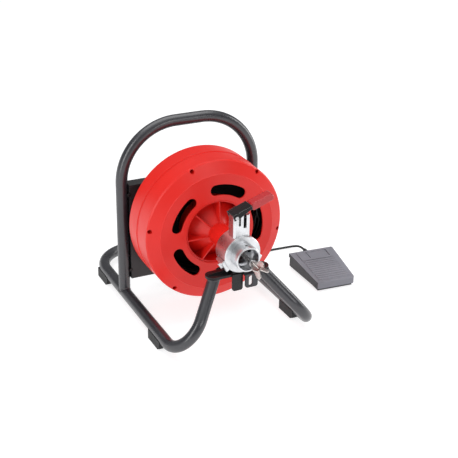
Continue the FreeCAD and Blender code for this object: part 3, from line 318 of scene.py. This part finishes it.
def turned_metal(name, colour, roughness):
    """Machined metal with tool rings that repeat along Y."""
    material, tree, shader = new_material(name)
    shader.inputs["Metallic"].default_value = 1.0
    vector = coordinates(tree)
    fine = coordinates(tree, (8, 1, 8))
    mottle = noise(tree, vector, 55.0, 4.0, 0.6)
    dark = tuple(c * 0.80 for c in colour)
    tree.links.new(ramp(tree, mottle, [(0.3, dark), (0.6, colour)]), shader.inputs["Base Color"])
    tree.links.new(spread(tree, noise(tree, vector, 90.0, 5.0, 0.65), roughness - 0.05, roughness + 0.09),
                   shader.inputs["Roughness"])
    rings = node(tree, "ShaderNodeTexWave", wave_type="BANDS", bands_direction="Y", Scale=130.0,
                 Distortion=1.5, Detail=2.0)
    rings.inputs["Detail Scale"].default_value = 3.0
    tree.links.new(vector, rings.inputs["Vector"])
    bump(tree, shader, [(noise(tree, fine, 40.0, 4.0), 0.04, 0.0005), (rings.outputs["Fac"], 0.06, 0.0002)])
    return material


def bare_steel(name, colour, roughness):
    """Unpainted or plated metal, a little mottled."""
    material, tree, shader = new_material(name)
    shader.inputs["Metallic"].default_value = 1.0
    vector = coordinates(tree)
    dark = tuple(c * 0.7 for c in colour)
    tree.links.new(ramp(tree, noise(tree, vector, 70.0, 5.0, 0.6), [(0.3, dark), (0.65, colour)]),
                   shader.inputs["Base Color"])
    tree.links.new(spread(tree, noise(tree, vector, 160.0, 4.0), roughness - 0.08, roughness + 0.15),
                   shader.inputs["Roughness"])
    bump(tree, shader, [(noise(tree, vector, 700.0, 3.0), 0.08, 0.0002)])
    return material


def rubber(name, colour, roughness=0.62):
    """Black rubber with a little dust."""
    material, tree, shader = new_material(name)
    vector = coordinates(tree)
    grey = tuple(c * 1.6 + 0.006 for c in colour)
    dust = ramp(tree, noise(tree, vector, 30.0, 6.0, 0.65), [(0.4, colour), (0.78, grey)])
    tree.links.new(dust, shader.inputs["Base Color"])
    tree.links.new(spread(tree, noise(tree, vector, 50.0), roughness - 0.08, roughness + 0.1),
                   shader.inputs["Roughness"])
    bump(tree, shader, [(noise(tree, vector, 1100.0, 3.0), 0.15, 0.0003)])
    return material


def make_materials():
    """One finish for each of the record's slots, and a few darker or lighter ones for single faces; most of
    these are painted shade or painted light.
    """
    return {
        "frame_paint": powder_coat("frame_paint", (0.019, 0.0192, 0.0245), 0.28, gloss=0.9),
        "black_paint": powder_coat("black_paint", (0.007, 0.007, 0.008), 0.28, gloss=0.35),
        # painted highlight: the lever's edges are made far lighter than its black, standing in for the shine
        # on its thin edges
        "lever_paint_edge_highlight": powder_coat("lever_paint_edge_highlight", (0.005, 0.005, 0.006), 0.26, 1.6, 0.45, 0.25),
        # painted light: the slotted lug gets a lighter grey than the plain black lug beside it, as if it
        # alone were lit
        "lug_painted_light": powder_coat("lug_painted_light", (0.022, 0.023, 0.028), 0.42),
        "case_paint": powder_coat("case_paint", (0.012, 0.012, 0.014), 0.45),
        "drum_plastic": moulded("drum_plastic", (0.79, 0.0165, 0.0105), 0.36, 1400.0, 0.05, 0.1, 0.4),
        # painted shade: near-black for the red drum shells' inner faces, which only lie in shade
        "drum_inside_painted_shade": moulded("drum_inside_painted_shade", (0.022, 0.015, 0.015), 0.6, 1400.0, 0.05, 0.1, 0.2),
        "grip_plastic": moulded("grip_plastic", (0.52, 0.014, 0.018), 0.26, coat=0.3),
        "machined_aluminium": turned_metal("machined_aluminium", (0.74, 0.75, 0.77), 0.27),
        "motor_aluminium": powder_coat("motor_aluminium", (0.16, 0.165, 0.175), 0.48),
        "steel": bare_steel("steel", (0.55, 0.55, 0.56), 0.28),
        "zinc_steel": bare_steel("zinc_steel", (0.72, 0.72, 0.74), 0.26),
        "spring_steel": bare_steel("spring_steel", (0.58, 0.55, 0.54), 0.24),
        # painted shade: the cable coiled in the drum is the same spring steel as the lead but made near-black
        # because it lies in the drum's shade; the drum's screws, deep in their recesses, take it too
        "wound_steel": bare_steel("wound_steel", (0.075, 0.072, 0.074), 0.34),
        "cutter_steel": bare_steel("cutter_steel", (0.72, 0.66, 0.63), 0.20),
        "bronze": bare_steel("bronze", (0.70, 0.46, 0.22), 0.3),
        "nylon_pulley": turned_metal("nylon_pulley", (0.6, 0.6, 0.62), 0.3),
        "black_rubber": rubber("black_rubber", (0.009, 0.009, 0.010)),
        "belt_rubber": rubber("belt_rubber", (0.010, 0.010, 0.010), 0.7),
        "hose_rubber": rubber("hose_rubber", (0.010, 0.010, 0.011), 0.42),
        "pedal_plastic": moulded("pedal_plastic", (0.235, 0.235, 0.27), 0.5, 900.0, 0.16, 0.25),
        # darker grey of the pedal's base; on the treadle's long sides the same colour is painted shade
        "pedal_dark_and_side_shade": moulded("pedal_dark_and_side_shade", (0.030, 0.030, 0.036), 0.5, 900.0, 0.16, 0.25),
        "black_plastic": moulded("black_plastic", (0.014, 0.014, 0.016), 0.45, 1000.0, 0.12, 0.2),
    }


SCREW_R = 0.166                # circle of the drum's screws
SCREW_PHASE = 51.0             # of the first of the six, in degrees
RECESS_R = 0.0054              # a screw's recess
FLAT_Y = -0.1126               # inner side of the front shell's flat face
FLAT_R = 0.1435                # where that face starts to slope back
FACE_SLOPE = 0.45
REAR_Y = 0.0008                # inner side of the rear shell
RIM_R = 0.1700                 # inner side of the rims
LUG_GAP_X = 0.0045             # between the two lugs
PEDAL_SKIN = 0.0012            # a face this near the treadle's edge is one of its sides


def inside_drum(place):
    """True on the faces of the drum's shells that look into its hollow, but not in the screws' recesses."""
    radius = math.hypot(place.x, place.z - AXIS_Z)
    turn = math.degrees(math.atan2(place.z - AXIS_Z, place.x)) - SCREW_PHASE
    beside = math.radians((turn + 30) % 60 - 30)
    if math.hypot(radius * math.cos(beside) - SCREW_R, radius * math.sin(beside)) < RECESS_R:
        return False
    front = FLAT_Y + FACE_SLOPE * max(0.0, radius - FLAT_R)
    return front < place.y < REAR_Y and radius < RIM_R


def on_slotted_lug(place):
    return place.x > LUG_GAP_X


def on_pedal_side(place):
    """True on the treadle's two long outer sides."""
    across, along, _ = to_pedal(place)
    front, rear = PEDAL_EDGE
    edge = front + (rear - front) * along / PEDAL_L + PEDAL_SKIN
    return not edge < across < PEDAL_W - edge


def paint_faces(part, finish, test):
    """Second finish on the faces whose middles pass the test."""
    part.data.materials.append(finish)
    for face in part.data.polygons:
        if test(face.center):
            face.material_index = 1


def paint_frame(finishes):
    """Every CAD node gets the finish of its slot, and a few get a darker tone of it: painted shade on the
    drum's screws, the shells' insides and the treadle's sides, a lighter painted tone on the slotted lug, and
    a painted edge highlight on the lever.
    """
    slots = {row["node"]: row["material_slot"] for row in frame["record"]["subparts"]}
    # painted shade: the drum's screws take the near-black wound_steel, as their recesses lie in shade
    slots.update(feed_lever="lever_paint_edge_highlight", pedal_base="pedal_dark_and_side_shade", pedal_pins="black_paint",
                 drum_screws="wound_steel")
    for name, part in nodes.items():
        part.data.materials.clear()
        part.data.materials.append(finishes[slots[name]])
    for name in ("drum_front_shell", "drum_rear_shell"):
        # painted shade: the shells' inner faces, seen through the slots, are made near-black
        paint_faces(nodes[name], finishes["drum_inside_painted_shade"], inside_drum)
    # painted light: the slotted lug is made lighter than the plain one
    paint_faces(nodes["bracket_lugs"], finishes["lug_painted_light"], on_slotted_lug)
    # painted shade: the treadle's long sides take the base's darker grey
    paint_faces(nodes["pedal_treadle"], finishes["pedal_dark_and_side_shade"], on_pedal_side)


# ---- pieces -----------------------------------------------------------------------------------
def add_piece(name, shape, body, finish):
    """A new mesh or curve object that rides on a body and takes one finish."""
    piece = bpy.data.objects.new(name, shape)
    bpy.context.scene.collection.objects.link(piece)
    shape.materials.append(finish)
    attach(piece, body)
    return piece


def smoothed(mesh, angle):
    """The mesh with smooth faces and its edges over the angle left sharp."""
    mesh.shade_smooth()
    mesh.set_sharp_from_angle(angle=math.radians(angle))
    return mesh


def round_wire(name, points, radius, sides, steps, cyclic=False):
    """NURBS curve with a round section, which starts and ends on its first and last points."""
    curve = bpy.data.curves.new(name, "CURVE")
    curve.dimensions = "3D"
    curve.bevel_depth = radius
    curve.bevel_resolution = sides
    curve.use_fill_caps = True
    curve.resolution_u = steps
    spline = curve.splines.new("NURBS")
    spline.points.add(len(points) - 1)
    for point, place in zip(spline.points, points):
        point.co = (*place, 1)
    spline.order_u = 3
    spline.use_endpoint_u = not cyclic
    spline.use_cyclic_u = cyclic
    return curve


def line_points(curve):
    """Points along a curve's own line, with no thickness."""
    bare = curve.copy()
    bare.bevel_depth = 0.0
    holder = bpy.data.objects.new("line", bare)
    mesh = bpy.data.meshes.new_from_object(holder)
    points = [vertex.co.copy() for vertex in mesh.vertices]
    bpy.data.objects.remove(holder)
    bpy.data.curves.remove(bare)
    bpy.data.meshes.remove(mesh)
    return points


def walk(points, step, length):
    """Points a step apart along a line, for a given length from its start."""
    places = [Vector(points[0])]
    due = step
    gone = 0.0
    for start, end in zip(points, points[1:]):
        span = (Vector(end) - Vector(start)).length
        while span > 0 and due <= gone + span and due <= length:
            places.append(Vector(start).lerp(Vector(end), (due - gone) / span))
            due += step
        gone += span
    return places


def circle(middle, across, up, sides, radius_at):
    """Places round a middle; radius_at(angle) gives the reach of each."""
    angles = [2 * math.pi * n / sides for n in range(sides)]
    return [middle + radius_at(angle) * (math.cos(angle) * across + math.sin(angle) * up) for angle in angles]


def skin(name, rings):
    """Closed mesh over rings of places, with a cap on each end."""
    mesh = bpy.data.meshes.new(name)
    made = bmesh.new()
    rings = [[made.verts.new(place) for place in ring] for ring in rings]
    for low, high in zip(rings, rings[1:]):
        for n in range(len(low)):
            after = (n + 1) % len(low)
            made.faces.new((low[n], low[after], high[after], high[n]))
    made.faces.new(rings[0][::-1])
    made.faces.new(rings[-1])
    bmesh.ops.recalc_face_normals(made, faces=made.faces)
    made.to_mesh(mesh)
    made.free()
    return mesh


def tube(name, places, sides, radius_at):
    """Mesh tube along places; radius_at(distance, angle) gives its surface."""
    ahead = (places[1] - places[0]).normalized()
    across = ahead.orthogonal().normalized()
    rings = []
    gone = 0.0
    for k, place in enumerate(places):
        if k:
            gone += (place - places[k - 1]).length
            new = (places[min(k + 1, len(places) - 1)] - places[k - 1]).normalized()
            across = ahead.rotation_difference(new) @ across
            ahead = new
        rings.append(circle(place, across, ahead.cross(across), sides, lambda angle: radius_at(gone, angle)))
    return skin(name, rings)


def lathe(name, profile, place, axis, sides=28):
    """Surface of revolution; profile is (distance along the axis, radius)."""
    axis = Vector(axis).normalized()
    across = axis.orthogonal().normalized()
    up = axis.cross(across)
    return skin(name, [circle(Vector(place) + along * axis, across, up, sides, lambda angle: radius)
                       for along, radius in profile])


# ---- cable ------------------------------------------------------------------------------------
WIND_LAYERS = (0.1228, 0.1332, 0.1436)  # radius of each layer of the cable in the drum
WIND_Y = (-0.0768, -0.0252)             # first and last turn of a layer
WIND_TURNS = 6                          # in each layer
WIND_POINTS = 18                        # control points per turn
WOUND_R = 0.0048                        # the cable in the drum, drawn plain
CABLE_CORE = 0.00425                    # the leading cable between its wire's turns
CABLE_RIDGE = 0.00075                   # height of a turn of its wire
CABLE_PITCH = 0.0032                    # from turn to turn of the wire
CABLE_STEP = 0.0004                     # from ring to ring of its mesh


def curve_reach(points_per_turn):
    """How near a round NURBS line of order 3 comes to the circle of its control points."""
    return 0.75 + 0.25 * math.cos(2 * math.pi / points_per_turn)


def make_wound_cable(finishes):
    """Turns of the cable inside the drum, in three layers."""
    points = []
    count = WIND_TURNS * WIND_POINTS
    for layer, radius in enumerate(WIND_LAYERS):
        for k in range(count):
            share = k / count if layer % 2 == 0 else 1 - k / count
            angle = 2 * math.pi * k / WIND_POINTS
            wander = 0.0006 * math.sin(3.0 * angle + 2.1 * layer) + 0.0005 * math.sin(0.37 * angle)
            reach = (radius + wander) / curve_reach(WIND_POINTS)
            points.append((reach * math.cos(angle), WIND_Y[0] + share * (WIND_Y[1] - WIND_Y[0]),
                           AXIS_Z + reach * math.sin(angle)))
    curve = round_wire("wound_turns", points, WOUND_R, sides=3, steps=3)
    # painted shade: the coiled cable takes the near-black wound_steel
    piece = add_piece("wound_turns", curve, "drum", finishes["wound_steel"])
    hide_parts("wound_cable")


def wire_ridge(gone, angle):
    """Surface of a close-wound round wire."""
    share = (gone / CABLE_PITCH + angle / (2 * math.pi)) % 1.0
    return CABLE_CORE + CABLE_RIDGE * math.sqrt(max(0.0, 1 - (2 * share - 1) ** 2))


def make_cable_lead(finishes):
    low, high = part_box("cable_lead")
    ends = [Vector((0, high[1], AXIS_Z)), Vector((0, low[1], AXIS_Z))]
    mesh = smoothed(tube("cable_wire", walk(ends, CABLE_STEP, high[1] - low[1]), 24, wire_ridge), 60)
    piece = add_piece("cable_wire", mesh, "cable", finishes["spring_steel"])
    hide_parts("cable_lead")


# ---- air hose ---------------------------------------------------------------------------------
HOSE_R = 0.003
COIL_CENTRE = (0.105, 0.160)
COIL_RADII = (0.0367, 0.0297)  # outer and inner column of turns
COIL_STEP_Z = 0.006
COIL_LAYERS = 4
COIL_TURNS = 7.75
COIL_POINTS = 16               # control points per turn
CROSS_MIDDLE = 330             # middle of the first crossing to the next place, in degrees of its turn
CROSS_EARLIER = 40             # how much earlier each turn after it crosses
CROSS_SPAN = 50
UPPER_ROUTE = [(58, 152, 169), (92, 152, 169), (122, 126, 150), (138, 104, 122), (143, 96, 88),
               (143, 100, 56), (142, 112, 34), (142, 136, 22)]  # from the switch box, in millimetres
LOWER_ROUTE = [(150, 124, 3), (196, 127, 3), (242, 140, 3), (286, 149, 3), (320, 147, 3), (350, 142, 5)]
PEDAL_ROUTE_Y = (0.236, 0.211) # the last two points, straight behind the pedal's air connection
BOOT_COLLAR = 0.008            # length of a boot's plain collar
BOOT_COLLAR_RISE = 0.0006
BOOT_RIB = 0.0005              # height of a rib
BOOT_RIB_PITCH = 0.0042
SWITCH_BOOT = {"length": 0.042, "thick": 0.0054, "thin": 0.0039}
SWITCH_BOOT_START = (0.0505, 0.152, 0.169)
PEDAL_BOOT = {"length": 0.053, "thick": 0.0062, "thin": 0.0046}
PEDAL_BOOT_ENDS = (0.1578, 0.2112)  # along the pedal


def coil_place(index):
    """Radius and height of the coil's n-th turn, from the top layer down, out and in."""
    radius = COIL_RADII[0] if index % 4 in (0, 3) else COIL_RADII[1]
    return radius, HOSE_R + COIL_STEP_Z * (COIL_LAYERS - 1 - index // 2)


def coil_points():
    """Turns that each cross to the next place a little earlier than the turn above."""
    points = []
    last = round(COIL_TURNS * COIL_POINTS)
    for k in range(last + 1):
        turn, part = divmod(k, COIL_POINTS)
        degrees = 360.0 * part / COIL_POINTS
        share = (degrees - (CROSS_MIDDLE - CROSS_EARLIER * turn) + 0.5 * CROSS_SPAN) / CROSS_SPAN
        share = max(0.0, min(1.0, share))
        share = share * share * (3 - 2 * share)
        here, there = coil_place(turn), coil_place(min(turn + 1, 2 * COIL_LAYERS - 1))
        radius = (here[0] + share * (there[0] - here[0])) / curve_reach(COIL_POINTS)
        height = here[1] + share * (there[1] - here[1])
        angle = math.radians(degrees)
        points.append((COIL_CENTRE[0] + radius * math.cos(angle),
                       COIL_CENTRE[1] + radius * math.sin(angle), height))
    return points


def boot_radius(length, thick, thin):
    """Tapered sleeve with ribs round it and a plain collar at its thick end."""
    def radius_at(gone, angle):
        if gone < BOOT_COLLAR:
            return thick + BOOT_COLLAR_RISE
        rib = math.sin(2 * math.pi * (gone - BOOT_COLLAR) / BOOT_RIB_PITCH)
        return thick + (thin - thick) * gone / length + BOOT_RIB * max(-0.6, min(0.6, 2.5 * rib))
    return radius_at


def make_boot(name, line, sizes, finishes):
    """Rubber sleeve along the start of a line."""
    mesh = tube(name, walk(line, 0.0005, sizes["length"]), 20, boot_radius(**sizes))
    return add_piece(name, smoothed(mesh, 50), "frame", finishes["hose_rubber"])


def make_boots(curve, finishes):
    """Sleeves where the hose is pushed on to the switch box and at the pedal's rear wall."""
    switch_line = [Vector(SWITCH_BOOT_START)] + line_points(curve)
    return [make_boot("switch_box_boot", switch_line, SWITCH_BOOT, finishes),
            make_boot("pedal_boot", air_line(PEDAL_BOOT_ENDS), PEDAL_BOOT, finishes)]


def make_hose(finishes):
    upper = [tuple(c * MM for c in p) for p in UPPER_ROUTE]
    lower = [tuple(c * MM for c in p) for p in LOWER_ROUTE] + air_line(PEDAL_ROUTE_Y)
    curve = round_wire("air_hose", upper + coil_points() + lower, HOSE_R, sides=4, steps=8)
    hose = add_piece("air_hose", curve, "frame", finishes["hose_rubber"])
    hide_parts("air_hose_upper", "air_hose_coil", "air_hose_lower")
    boots = make_boots(curve, finishes)


# ---- springs and bulb ---------------------------------------------------------------------------
SPRING_POINTS = 28             # along one turn of a spring
CARRIAGE_COIL = {"radius": 0.0086, "wire": 0.001, "turns": 5.5}
PEDAL_COIL = {"radius": 0.006, "wire": 0.0008, "turns": 5.0}
PEDAL_COILS = ((0.024, "left"), (0.084, "right"))  # places across the pedal
PEDAL_COIL_Y = 0.102                               # place along it
BULB_FOOT = (0.054, 0.104, 0.0075)                 # on the pedal
BULB_PROFILE = ((0.0, 0.0166), (0.0045, 0.0196), (0.0075, 0.0199), (0.0105, 0.0196), (0.0140, 0.0176),
                (0.0165, 0.0150), (0.0177, 0.0095), (0.0185, 0.0045), (0.0190, 0.0006))
BULB_TUBE_R = 0.0024
BULB_TUBE_ENDS = (0.121, 0.1476)                   # along the pedal
BULB_TUBE_LENGTH = 0.0266


def spring_line(foot, rise, radius, wire, turns):
    """Middle of a coil spring's wire, which fills the height above its foot, with flat end turns."""
    places = []
    count = round(turns * SPRING_POINTS)
    for k in range(count + 1):
        angle = 2 * math.pi * k / SPRING_POINTS
        share = max(0.0, min(1.0, (k - SPRING_POINTS / 2) / (count - SPRING_POINTS)))
        height = wire + share * (rise - 2 * wire)
        places.append(Vector(foot) + Vector((radius * math.cos(angle), radius * math.sin(angle), height)))
    return places


def make_spring(name, node_name, foot, sizes, finishes):
    """Coil spring in a node's place, filling that node's height."""
    low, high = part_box(node_name)
    places = spring_line(foot, high[2] - low[2], **sizes)
    mesh = smoothed(tube(name, places, 12, lambda gone, angle: sizes["wire"]), 60)
    piece = add_piece(name, mesh, "frame", finishes["spring_steel"])
    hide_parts(node_name)
    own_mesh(piece)


def make_springs(finishes):
    low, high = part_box("carriage_spring")
    foot = (0.0, 0.5 * (low[1] + high[1]), low[2])
    make_spring("carriage_coil", "carriage_spring", foot, CARRIAGE_COIL,
                finishes)
    low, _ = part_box("pedal_springs")
    for across, name in PEDAL_COILS:
        foot = on_pedal(across, PEDAL_COIL_Y, low[2])
        make_spring("pedal_coil_" + name, "pedal_springs", foot, PEDAL_COIL,
                    finishes)


def make_bulb(finishes):
    """Rubber bulb that the treadle squeezes, and the tube from it to the rear wall."""
    foot = on_pedal(*BULB_FOOT)
    mesh = smoothed(lathe("bulb", BULB_PROFILE, foot, (0, 0, 1), 40), 60)
    piece = add_piece("bulb", mesh, "frame", finishes["black_rubber"])
    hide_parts("air_bulb")
    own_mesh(piece)
    line = walk(air_line(BULB_TUBE_ENDS), 0.001, BULB_TUBE_LENGTH)
    mesh = tube("bulb_tube", line, 16, lambda gone, angle: BULB_TUBE_R)
    add_piece("bulb_tube", smoothed(mesh, 60), "frame", finishes["black_rubber"])


# ---- small parts ------------------------------------------------------------------------------
BEAD_R = 0.0019
BEAD_POINTS = 28
UPRIGHT = (0.172, 0.050, 0.0265)      # where the right upright meets the middle of its rail
STRUT_TOP = (0.056, -0.220, 0.170)    # the right strut's end in the saddle plate
STRUT_RUN = (0.543, -0.501, -0.674)   # its direction, downwards
BEAD_DROP = 0.0012                    # of the strut's bead below the plate's underside


def weld_bead(name, points, finishes, chance):
    """Uneven bead of weld round a joint, painted with the frame."""
    curve = round_wire(name, points, BEAD_R, sides=3, steps=3, cyclic=True)
    for point in curve.splines[0].points:
        point.radius = chance.uniform(0.75, 1.15)
    add_piece(name, curve, "frame", finishes["frame_paint"])


def make_welds(finishes):
    """Beads where the handle meets the rails and where the struts meet the saddle plate."""
    chance = random.Random(7)
    for side, name in ((-1, "left"), (1, "right")):
        mirror = Vector((side, 1, 1))
        foot = mirror * Vector(UPRIGHT)
        ring = circle(Vector(), Vector((1, 0, 0)), Vector((0, 1, 0)), BEAD_POINTS, lambda angle: TUBE_R)
        bead = [foot + offset + Vector((0, 0, abs(offset.y))) for offset in ring]
        weld_bead("upright_weld_" + name, bead, finishes, chance)
        top = mirror * Vector(STRUT_TOP)
        axis = (mirror * Vector(STRUT_RUN)).normalized()
        first = axis.orthogonal().normalized()
        ring = circle(Vector(), first, axis.cross(first), BEAD_POINTS, lambda angle: TUBE_R)
        bead = [top + offset - axis * ((BEAD_DROP + offset.z) / axis.z) for offset in ring]
        weld_bead("strut_weld_" + name, bead, finishes, chance)


SCREW_PROFILE = ((0.0, 1.0), (0.35, 1.0), (0.62, 0.86), (0.75, 0.55), (0.75, 0.46), (0.40, 0.42),
                 (0.40, 0.02))
SCREW_HEIGHT = 0.6                    # of the profile's first measure, for a radius of 1
CASE_SCREW_X = 0.159                  # of the right ones
CASE_SCREW_Y = 0.036
CASE_SCREW_Z = ((0.286, "upper"), (0.089, "lower"))
LID_INSET = 0.009                     # of the lid's screws from its edges
NOZZLE_SCREW_Y = -0.263
NOZZLE_SCREW_SINK = 0.0006


def make_screw(name, place, axis, radius, finish):
    """Low round head with a socket."""
    profile = [(along * radius * SCREW_HEIGHT, reach * radius) for along, reach in SCREW_PROFILE]
    add_piece(name, smoothed(lathe(name, profile, place, axis), 35), "frame", finish)


def make_screws(finishes):
    for side, side_name in ((-1, "left"), (1, "right")):
        for height, name in CASE_SCREW_Z:
            place = (side * CASE_SCREW_X, CASE_SCREW_Y, height)
            make_screw(f"case_screw_{side_name}_{name}", place, (0, -1, 0), 0.0042,
                       finishes["black_paint"])
    low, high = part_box("switch_box_lid")
    for x, side_name in ((low[0] + LID_INSET, "left"), (high[0] - LID_INSET, "right")):
        for y, name in ((low[1] + LID_INSET, "front"), (high[1] - LID_INSET, "rear")):
            make_screw(f"lid_screw_{side_name}_{name}", (x, y, high[2]), (0, 0, 1), 0.0036,
                       finishes["zinc_steel"])
    _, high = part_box("nozzle")
    # the screw's lighter rim is the lever finish's painted edge highlight
    make_screw("nozzle_screw", (0, NOZZLE_SCREW_Y, high[2] - NOZZLE_SCREW_SINK), (0, 0, 1), 0.0034,
               finishes["lever_paint_edge_highlight"])


# ---- run ------------------------------------------------------------------------------------
make_camera()
make_lights()
make_floor()
finishes = make_materials()
make_hose(finishes)
paint_frame(finishes)
make_wound_cable(finishes)
make_cable_lead(finishes)
make_welds(finishes)
make_screws(finishes)
make_springs(finishes)
make_bulb(finishes)
